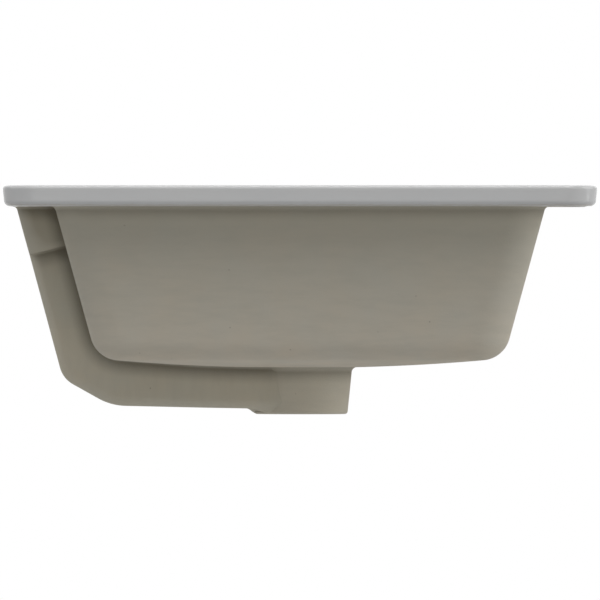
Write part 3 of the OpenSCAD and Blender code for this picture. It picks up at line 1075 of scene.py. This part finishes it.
@dataclass
class OutletBoss:
    """The round socket under the floor that a waste is clamped through."""

    size: BasinSizes
    port_w: float = 24.0
    port_h: float = 12.0
    port_z: float = -119.39
    port_y: Pair = (-10.0, -50.0)
    fillet_r: float = 3.6
    bore_r: float = 0.8
    steps: int = 128

    def _section(self) -> list[Pair]:
        """The boss's closed section as radius and height.

        Returns:
            The points of the section.
        """
        s, r, edge_r, bore_r = self.size, self.fillet_r, self.size.boss_edge_r, self.bore_r
        turn = 90 - s.boss_draft
        bore = s.outlet_d / 2
        foot = s.boss_d / 2 - edge_r * tan(radians((90 + s.boss_draft) / 2))
        back = r * tan(radians(turn / 2))
        eased = arc((bore + bore_r, s.boss_z + bore_r), bore_r, 270, 180, 4)
        level = [(bore + 1.3, s.boss_z), (foot - 0.5, s.boss_z)]
        lower = arc((foot, s.boss_z + edge_r), edge_r, 180, 90 + s.boss_draft, EDGE_ARC)
        upper = arc((s.boss_top_r + back, s.under_z - r), r, -turn, 0, EDGE_ARC)
        x, z = 0.5 * sin(radians(s.boss_draft)), 0.5 * cos(radians(s.boss_draft))
        side = [(lower[-1][0] + x, lower[-1][1] + z), (upper[0][0] - x, upper[0][1] - z)]
        return [(bore, s.under_z), *eased, *level, *lower, *side, *upper]

    def build(self) -> Piece:
        """Spins the boss and opens its port.

        Returns:
            The piece.
        """
        bm = bmesh.new()
        ring = [bm.verts.new(Vector((r, 0, z)) * MM) for r, z in self._section()]
        edges = [bm.edges.new(pair) for pair in zip(ring, [*ring[1:], ring[0]])]
        bmesh.ops.spin(
            bm, geom=ring + edges, cent=(0, 0, 0), axis=(0, 0, 1), angle=tau, steps=self.steps,
            use_merge=True,
        )
        bmesh.ops.remove_doubles(bm, verts=bm.verts, dist=1e-7)
        outward(bm)
        piece = finished("outlet_boss_spun", bm)
        self._open_port(piece)
        smooth(piece.data)
        return piece

    def _open_port(self, piece: Piece) -> None:
        """Cuts the port through the front of the boss's wall.

        Args:
            piece: The boss.
        """
        bm = bmesh.new()
        made = bmesh.ops.create_circle(bm, cap_ends=True, segments=SLOT_POINTS, radius=1.0)
        start, end = self.port_y
        for vert, (x, up) in zip(made["verts"], long_round(self.port_w, self.port_h)):
            vert.co = Vector((x, start, self.port_z + up)) * MM
        grown = bmesh.ops.extrude_face_region(bm, geom=list(bm.faces))
        verts = [v for v in grown["geom"] if isinstance(v, bmesh.types.BMVert)]
        bmesh.ops.translate(bm, verts=verts, vec=Vector((0, end - start, 0)) * MM)
        outward(bm)
        cutter = finished("port_cutter", bm)
        cut = piece.modifiers.new("port", "BOOLEAN")
        cut.operation = "DIFFERENCE"
        cut.solver = "EXACT"
        cut.object = cutter
        graph = bpy.context.evaluated_depsgraph_get()
        opened = bpy.data.meshes.new_from_object(piece.evaluated_get(graph))
        piece.modifiers.clear()
        bm = bmesh.new()
        bm.from_mesh(opened)
        bmesh.ops.remove_doubles(bm, verts=bm.verts, dist=1e-5)
        bmesh.ops.dissolve_degenerate(bm, edges=bm.edges, dist=1e-6)
        bm.to_mesh(opened)
        bm.free()
        piece.data = opened
        bpy.data.objects.remove(cutter)

    def dress(self, piece: Piece) -> None:
        """Gives the boss its bare body, with a lighter base as painted light."""
        # The base and warm tone are lighter than the riser's: painted light on the boss, which sits in
        # the bowl's shade.
        finish = BareBody("bare_body_boss_painted_light", "#D9D6C8", "#DFD5C1", wipe=Wipe.ACROSS)
        hand_over(piece, "outlet_boss", finish)


@dataclass(frozen=True)
class Station:
    """One section of the duct, through a point of its outer line."""

    outer: Vector
    inward: Vector
    half: float
    edge_r: float
    hollow: float


@dataclass
class OverflowDuct:
    """The cast duct down the front of the bowl and under its floor."""

    size: BasinSizes
    profile: WareProfile
    bowl: BVHTree
    slope: float = 14.0
    hood_half: float = 42.0
    hood_edge_r: float = 9.0
    hood_cove_r: float = 3.0
    shoulder_r: float = 5.0
    fade: float = 8.0
    fade_h: float = 14.0
    wall: float = 6.0
    out: float = 27.8
    draft: float = 15.1
    half: float = 28.0
    edge_r: float = 6.0
    foot_r: float = 1.8
    inner_r: float = 3.0
    sunk: float = 1.0
    heel_drop: float = 14.3
    heel_r: float = 18.0
    heel_slope: float = 29.3
    run_drop: float = 32.4
    run_r: float = 40.0
    run_fall: float = 1.3
    run_y: Pair = (-75.0, -62.0)
    run_radii: tuple[float, ...] = (50.0, 44.0, 40.0, 38.0)
    fairing: Pair = (36.8, 29.4)
    side_r: float = 18.0

    @property
    def face_y(self) -> float:
        """Where the duct's outer face stands in the seat plane."""
        return -self.size.outside.half_y - self.out

    @property
    def lean_tan(self) -> float:
        """Run of the duct's outer face per unit of height."""
        return tan(radians(self.draft))

    @property
    def uphill(self) -> Vector:
        """Direction of the shoulder plane, towards the bowl."""
        return Vector((0, cos(radians(self.slope)), sin(radians(self.slope))))

    @property
    def hub(self) -> Vector:
        """Point in the bowl's fillet that the heel's sections turn about.

        Returns:
            The point.
        """
        s = self.size
        y = s.bowl_depth * s.draft_tan + s.bowl_fillet_r - s.outside.half_y
        return Vector((0.0, y, s.bowl_fillet_r - s.bowl_depth))

    def face_at(self, z: float) -> Vector:
        """The duct's outer face at height z."""
        return Vector((0.0, self.face_y - z * self.lean_tan, z))

    def on_shoulder(self, lift: float) -> Vector:
        """The outer face's point on the shoulder plane lifted by lift.

        Args:
            lift: Height above the plane that leaves the slot its wall.

        Returns:
            The point.
        """
        s = self.size
        slope = tan(radians(self.slope))
        in_z = -s.slot_drop - s.slot_h / 2 - self.wall
        rise = slope * (self.face_y - self.profile.front_outer_y(in_z))
        return self.face_at((in_z + rise + lift) / (1 + slope * self.lean_tan))

    def reach(self, station: Station, x: float) -> float:
        """Distance from a section's outer face to the bowl, at x."""
        start = (station.outer + Vector((x, 0, 0))) * MM
        return self.bowl.ray_cast(start, station.inward)[3] / MM

    def loop(self, station: Station) -> Lap:
        """The closed loop of a section: outer face, feet and hollow.

        Args:
            station: The section's place and sizes.

        Returns:
            The loop's points, from the middle of the outer face.
        """
        st, foot, inner, wall = station, self.foot_r, self.inner_r, self.wall
        depth = self.reach(st, st.half + foot)
        half = [(st.half - st.edge_r - 0.5, 0.0)]
        half += arc((st.half - st.edge_r, st.edge_r), st.edge_r, 180, 90, EDGE_ARC + 1)
        half += [(st.half, st.edge_r + 0.5), (st.half, depth - foot - 0.5)]
        half += arc((st.half + foot, depth - foot), foot, -90, 0, EDGE_ARC)
        half += [(st.half + foot, depth + self.sunk), (st.hollow, depth + self.sunk)]
        half += arc((st.hollow - inner, wall + inner), inner, 90, 180, 4)
        points = [(0.0, 0.0), *half, (0.0, wall), *((-x, t) for x, t in reversed(half))]
        return [st.outer + Vector((x, 0, 0)) + st.inward * t for x, t in points]

    def sweep(self, name: str, laps: Sequence[Lap]) -> Piece:
        """Sweeps a piece of the duct through its sections.

        Args:
            name: Name of the piece.
            laps: The loops of the sections, in order.

        Returns:
            The piece.
        """
        skin = Skin(laps[0])
        skin.loft(laps[1:])
        skin.cap_ends()
        outward(skin.bm)
        return skin.finish(name)

    def channel(self, outer: Vector, inward: Vector, flare: float = 0.0) -> Station:
        """A section below the shoulder, wider by flare on each side."""
        return Station(outer, inward, self.half + flare, self.edge_r + flare, self.half - self.wall)

    def build_hood(self) -> Piece:
        """Sweeps the wide head from the rim down to its shoulder.

        Returns:
            The piece.
        """
        r, wide, edge = self.hood_cove_r, self.hood_half, self.hood_edge_r
        turn = 90 - self.draft
        back = r * tan(radians(turn / 2))
        roomy, narrow = wide - self.wall, self.half - self.wall
        cove = arc((back, -r), r, 0, -turn, EDGE_ARC)
        stations = []
        for (out, z), (flare, _) in zip(cove, roll(r, EDGE_ARC)):
            outer = Vector((0, self.face_y - out, z))
            stations.append(Station(outer, ACROSS, wide + flare, edge + flare, roomy))
        stations.append(Station(self.face_at(-r), ACROSS, wide, edge, roomy))
        rows = [(self.fade_h, 0.0, roomy), (10.0, 0.0, roomy), (6.6, 0.0, roomy), (6.0, 0.0, narrow)]
        rows += [(lift, drawn_in, narrow) for lift, drawn_in in roll(self.shoulder_r, EDGE_ARC)]
        for lift, drawn_in, hollow in rows:
            softer = edge + self.fade * (1 - lift / self.fade_h)
            outer = self.on_shoulder(lift)
            stations.append(Station(outer, self.uphill, wide - drawn_in, softer, hollow))
        return self.sweep("overflow_hood_cast", [self.loop(s) for s in stations])

    def build_riser(self) -> Piece:
        """Sweeps the straight channel from the shoulder to the heel.

        Returns:
            The piece.
        """
        stations = []
        for flare, drop in [*roll(self.foot_r, EDGE_ARC), (0.0, self.foot_r + 0.6)]:
            stations.append(self.channel(self.on_shoulder(-drop), self.uphill, flare))
        for z in (-50.0, -65.0, self.hub.z + 1.0, self.hub.z):
            stations.append(self.channel(self.face_at(z), ACROSS))
        return self.sweep("overflow_riser_cast", [self.loop(s) for s in stations])

    @staticmethod
    def bend(corner: Vector, start: float, end: float, radius: float, count: int) -> Lap:
        """An arc that rounds a corner of the duct's outer line.

        Args:
            corner: The corner, in the plane of y and z.
            start: Direction of travel before it, in degrees below the level.
            end: Direction of travel after it, in degrees below the level.
            radius: Radius of the arc.
            count: Number of steps.

        Returns:
            The arc's points.
        """
        g = radians(start)
        back = radius * tan(radians(start - end) / 2)
        y = corner.y - back * cos(g) + radius * sin(g)
        z = corner.z + back * sin(g) + radius * cos(g)
        turn = arc((y, z), radius, start + 180, end + 180, count)
        return [Vector((0, y, z)) for y, z in turn]

    def outer_line(self) -> Lap:
        """The duct's outer line from the riser's foot to the straight run.

        Returns:
            The points of the line.
        """
        heel_z = -self.size.bowl_depth - self.heel_drop
        heel = self.face_at(heel_z)
        run_z = -self.size.bowl_depth - self.run_drop
        away = (heel_z - run_z) / tan(radians(self.heel_slope))
        knee = Vector((0, heel.y + away, run_z))
        first = self.bend(heel, 90 - self.draft, self.heel_slope, self.heel_r, 10)
        second = self.bend(knee, self.heel_slope, self.run_fall, self.run_r, 8)
        straight = [self.face_at(z) for z in (self.hub.z, self.hub.z - 1, -90.0, first[0].z + 1)]
        between = [first[-1].lerp(second[0], share) for share in (0.1, 0.5, 0.9)]
        return straight + first + between + second

    def inward(self, p: Vector) -> Vector:
        """Direction of a section of the run, towards the bowl.

        Args:
            p: Point of the outer line.

        Returns:
            The direction, of unit length.
        """
        if p.z >= self.hub.z:
            return ACROSS
        return UP if p.y >= self.hub.y else (self.hub - p).normalized()

    def build_run(self) -> Piece:
        """Sweeps the heel and the run, and fairs the run onto the boss.

        Returns:
            The piece.
        """
        line = self.outer_line()
        last, fall = line[-1], tan(radians(self.run_fall))
        line += [Vector((0, y, last.z - (y - last.y) * fall)) for y in self.run_y]
        laps = [self.loop(self.channel(p, self.inward(p))) for p in line]
        start, end = self.fairing
        radii = [*self.run_radii, start + 0.6]
        radii += [start + (end - start) * k / 10 for k in range(11)]
        radii += [end - 1.0, end - 3.0]
        base = line[-1]
        for rho in radii:
            z = base.z + (rho + base.y) * fall
            flat = self.loop(self.channel(Vector((0, -rho, z)), UP))
            laps.append([self.round_boss(p, rho, z) for p in flat])
        return self.sweep("overflow_run_cast", laps)

    def widened(self, y: float, z: float) -> float:
        """Growth of the run's half width at the fillet from its side to the boss.

        Args:
            y: Place along the run.
            z: Height, which gives the drafted boss its radius.

        Returns:
            The growth, 0 before the fillet.
        """
        s, r = self.size, self.side_r
        boss_r = s.boss_d / 2 + (z - s.boss_z) * tan(radians(s.boss_draft))
        start = -sqrt((boss_r + r) ** 2 - (self.half + r) ** 2)
        end = start * boss_r / (boss_r + r)
        ahead = min(max(y, start), end) - start
        return r - sqrt(r * r - ahead * ahead)

    def round_boss(self, p: Vector, rho: float, z: float) -> Vector:
        """Wraps a section's point round the boss, and fairs its underside.

        Args:
            p: The point on a straight section.
            rho: Distance of the section from the outlet's axis.
            z: Height of the run's underside there.

        Returns:
            The wrapped point.
        """
        y = -sqrt(max(rho * rho - p.x * p.x, 16.0))
        start, end = self.fairing
        share = min(max((start - rho) / (start - end), 0.0), 1.0)
        drop = (z - self.size.boss_z - 0.03) * share * share * (3 - 2 * share)
        drop -= max(end - rho, 0.0)
        near = min(max((z - p.z) / self.edge_r + 1.0, 0.0), 1.0)
        low = p.z - drop * near
        return Vector((p.x * (1 + self.widened(y, low) / self.half), y, low))

    def dress(self, hood: Piece, riser: Piece, run: Piece) -> None:
        """Gives the three castings of the duct their bare body, the hood's darker as painted shade and
        the run's lighter as painted light.

        Args:
            hood: The wide head.
            riser: The straight channel.
            run: The heel and the run.
        """
        # Darker base: painted shade on the hood under the rim's ledge.
        finish = BareBody("bare_body_hood_painted_shade", "#C5C3B6", "#CCC3B0")
        hand_over(hood, "overflow_hood", finish)
        hand_over(riser, "overflow_riser", BareBody("bare_body_riser"))
        # Lighter base: painted light on the run under the bowl.
        finish = BareBody("bare_body_run_painted_light", "#D3D1C3", "#DBD1BC")
        hand_over(run, "overflow_run", finish)


# Studio


@dataclass(frozen=True)
class SoftLamp:
    """A broad far lamp: where it stands round the basin and what it sends."""

    name: str
    azimuth: float
    elevation: float
    strength: float
    width: float

    def build(self) -> None:
        """Hangs the lamp."""
        data = bpy.data.lights.new(self.name, "SUN")
        data.energy = self.strength
        data.angle = radians(self.width)
        around, up = radians(self.azimuth), radians(self.elevation)
        toward = Vector((cos(around) * cos(up), sin(around) * cos(up), sin(up)))
        lamp = placed(self.name, data)
        lamp.rotation_euler = toward.to_track_quat("Z", "Y").to_euler()
        lamp.location = toward * 3.0


@dataclass
class Studio:
    """The floor, the light and the camera round the basin.

    The floor is white to the eye and dull to the light that it sends back up,
    so that the basin's underside keeps its shade.
    """

    floor_z: float = -0.300
    floor_r: float = 1.2
    floor_fade: Pair = (0.6, 0.98)
    floor_white: float = 0.9
    floor_lift: float = 0.14
    floor_bounce: float = 0.22
    floor_glow: float = 0.225
    fill: float = 0.13
    lens: float = 1500.0
    eye: tuple[float, float, float] = (16.833, 0.046, -0.018)
    aim: tuple[float, float, float] = (0.229, 0.0, -0.06225)
    lamps: tuple[SoftLamp, ...] = (
        SoftLamp("overhead_lamp", 30.0, 74.0, 0.51, 22.0),
        SoftLamp("near_lamp", 0.0, 54.0, 0.96, 52.0),
        SoftLamp("level_lamp", 0.0, 2.0, 0.12, 30.0),
        SoftLamp("right_lamp", 90.0, 17.0, 1.02, 52.0),
        SoftLamp("left_lamp", 272.0, 46.0, 0.46, 60.0),
        SoftLamp("far_lamp", 180.0, 38.0, 0.50, 80.0),
    )

    def build(self) -> None:
        """Sets up the world, the lamps, the floor and the camera."""
        self._world()
        for lamp in self.lamps:
            lamp.build()
        self._floor()
        self._camera()
        bpy.context.scene.view_settings.view_transform = "Standard"

    def _world(self) -> None:
        """A plain white surround, even for the light and white for the eye."""
        world = bpy.data.worlds.new("white_surround")
        bpy.context.scene.world = world
        tree = empty_tree(world)
        level = add(tree, "MapRange", Value=self._seen(tree), To_Min=self.fill, To_Max=1.0)
        light = add(tree, "Background", Color=WHITE, Strength=level)
        add(tree, "OutputWorld", Surface=light)

    @staticmethod
    def _seen(tree: bpy.types.NodeTree) -> bpy.types.Node:
        """1 for camera, glossy and transmission rays, and 0 for the rest.

        Args:
            tree: Node tree to add to.

        Returns:
            The node that gives the value.
        """
        ray = add(tree, "LightPath").outputs
        most = {"operation": "MAXIMUM"}
        eye = add(tree, "Math", most, i0=ray["Is Camera Ray"], i1=ray["Is Glossy Ray"])
        return add(tree, "Math", most, i0=eye, i1=ray["Is Transmission Ray"])

    def _floor(self) -> None:
        """A pale round floor below the basin, which keeps its shadow."""
        bm = bmesh.new()
        bmesh.ops.create_circle(bm, cap_ends=True, segments=96, radius=self.floor_r)
        bmesh.ops.translate(bm, verts=bm.verts, vec=(0, 0, self.floor_z))
        floor = finished("studio_floor", bm)
        mat = bpy.data.materials.new("matt_white_floor")
        tree = empty_tree(mat)
        white, bounce = self.floor_white, self.floor_bounce
        matt = add(tree, "BsdfDiffuse", Color=(white, white, white, 1))
        dull = add(tree, "BsdfDiffuse", Color=(bounce, bounce, bounce, 1))
        upward = add(tree, "Emission", Color=WHITE, Strength=self.floor_glow)
        sent = add(tree, "AddShader", i0=dull, i1=upward)
        glow = add(tree, "Emission", Color=WHITE, Strength=self.floor_lift)
        lit = add(tree, "AddShader", i0=matt, i1=glow)
        paper = add(tree, "Emission", Color=WHITE, Strength=1.0)
        place = add(tree, "TexCoord").outputs["Object"]
        reach = add(tree, "VectorMath", {"operation": "LENGTH"}, i0=place)
        near, far = (share * self.floor_r for share in self.floor_fade)
        fade = add(tree, "MapRange", Value=reach, From_Min=near, From_Max=far)
        faded = add(tree, "MixShader", i0=fade, i1=lit, i2=paper)
        pick = add(tree, "MixShader", i0=self._seen(tree), i1=sent, i2=faded)
        clear = add(tree, "BsdfTransparent")
        back = add(tree, "NewGeometry").outputs["Backfacing"]
        sided = add(tree, "MixShader", i0=back, i1=pick, i2=clear)
        add(tree, "OutputMaterial", Surface=sided)
        floor.data.materials.append(mat)

    def _camera(self) -> None:
        """A long level lens from the basin's right, as in the photograph."""
        data = bpy.data.cameras.new("side_camera")
        data.lens = self.lens
        data.sensor_width = 36.0
        data.clip_end = 60.0
        camera = placed("side_camera", data)
        camera.location = self.eye
        look = Vector(self.aim) - Vector(self.eye)
        camera.rotation_euler = look.to_track_quat("-Z", "Y").to_euler()
        bpy.context.scene.camera = camera


def main() -> None:
    """Builds the basin's pieces in order, and then the studio."""
    logging.basicConfig(level=logging.INFO, format="%(name)s: %(message)s")
    size = BasinSizes()
    profile = WareProfile(size)
    rim = RimCasting(size, profile)
    rim.dress(rim.build())
    bowl = BowlCasting(size, profile)
    bowl.dress(bowl.build())
    coat = GlazeCoat(size, profile)
    coat.dress(coat.build())
    boss = OutletBoss(size)
    boss.dress(boss.build())
    duct = OverflowDuct(size, profile, bowl.tree)
    duct.dress(duct.build_hood(), duct.build_riser(), duct.build_run())
    Studio().build()


if __name__ == "__main__":
    main()
